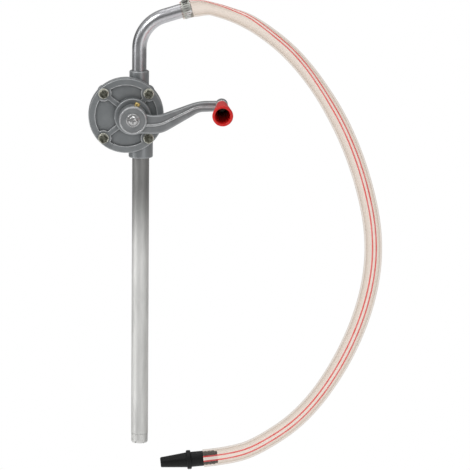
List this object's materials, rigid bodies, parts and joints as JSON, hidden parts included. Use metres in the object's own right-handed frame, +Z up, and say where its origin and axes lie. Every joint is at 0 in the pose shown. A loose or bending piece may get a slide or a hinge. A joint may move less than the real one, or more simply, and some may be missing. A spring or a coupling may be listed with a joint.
{
  "type": "rotary hand transfer pump",
  "caption": "Hand-cranked rotary vane pump for drums: round casing, S-shaped crank with a tapered grip, telescopic suction tube, bent spout and clear delivery hose with a nozzle.",
  "frame": {"origin": "on the suction tube's axis, at the underside of the pump body's lower boss, where the tube leaves it", "axes": "+Z up along the suction tube, +X right towards the hose, -Y front, the side of the crank"},
  "size_m": [0.4509, 0.2, 0.7353],
  "materials": {
    "grey_casting": "satin grey enamel over the cast surface",
    "machined_face": "machined and satin",
    "yellow_zinc": "yellowish zinc plating, worn",
    "bright_pipe": "bright plated",
    "suction_steel": "drawn steel with dull zinc plating",
    "red_grip": "smooth moulded plastic, a little glossy",
    "clear_hose": "clear soft PVC with thin red stripes",
    "black_nozzle": "moulded, low sheen",
    "brass": "turned",
    "clamp_steel": "bright rolled strip",
    "bronze_bush": "sintered bronze",
    "vane_board": "brown laminated board",
    "seal_rubber": "smooth black rubber",
    "rotor_iron": "machined grey iron",
    "spring_steel": "drawn wire",
    "guide_plastic": "natural nylon"
  },
  "bodies": {
    "pump": {"pump_body": "grey_casting", "front_cover": "grey_casting", "cover_gasket": "seal_rubber", "cover_bolts": "yellow_zinc", "spring_washers": "yellow_zinc", "plain_washers": "yellow_zinc", "rear_bush": "bronze_bush", "front_bush": "bronze_bush", "shaft_seal": "seal_rubber", "gland_nut": "grey_casting", "suction_tube_outer": "suction_steel", "outer_tube_bush": "guide_plastic", "spout_pipe": "bright_pipe", "delivery_hose": "clear_hose", "hose_clamp_band": "clamp_steel", "hose_clamp_housing": "clamp_steel", "hose_clamp_screw": "clamp_steel", "nozzle": "black_nozzle"},
    "crank": {"crank_arm": "grey_casting", "crank_end_washer": "machined_face", "crank_end_screw": "bright_pipe", "crank_set_screw": "brass", "rotor_shaft": "rotor_iron", "vane_springs": "spring_steel", "grip_washer": "yellow_zinc", "grip_bolt": "machined_face"},
    "grip": {"handle_grip": "red_grip"},
    "upper_vane_body": {"upper_vane": "vane_board"},
    "lower_vane_body": {"lower_vane": "vane_board"},
    "middle_tube": {"suction_tube_middle": "suction_steel", "middle_tube_guide": "guide_plastic", "middle_tube_bush": "guide_plastic"},
    "inner_tube": {"suction_tube_inner": "suction_steel", "inner_tube_guide": "guide_plastic", "strainer": "suction_steel"}
  },
  "joints": [
    {"name": "crank_spin", "type": "hinge", "parent": "pump", "child": "crank", "pos_m": [-0.013, 0, 0.0687], "axis": [0, 1, 0], "continuous": true},
    {"name": "grip_spin", "type": "hinge", "parent": "crank", "child": "grip", "pos_m": [0.1224, 0, 0.091], "axis": [0, 1, 0], "continuous": true},
    {"name": "upper_vane_slide", "type": "slide", "parent": "crank", "child": "upper_vane_body", "axis": [0, 0, 1], "range_m": [0, 0.0065], "deforming": ["vane_springs"]},
    {"name": "lower_vane_slide", "type": "slide", "parent": "crank", "child": "lower_vane_body", "axis": [0, 0, -1], "range_m": [0, 0.0065], "deforming": ["vane_springs"]},
    {"name": "middle_tube_slide", "type": "slide", "parent": "pump", "child": "middle_tube", "axis": [0, 0, -1], "range_m": [0, 0.37]},
    {"name": "inner_tube_slide", "type": "slide", "parent": "middle_tube", "child": "inner_tube", "axis": [0, 0, -1], "range_m": [0, 0.355]}
  ]
}
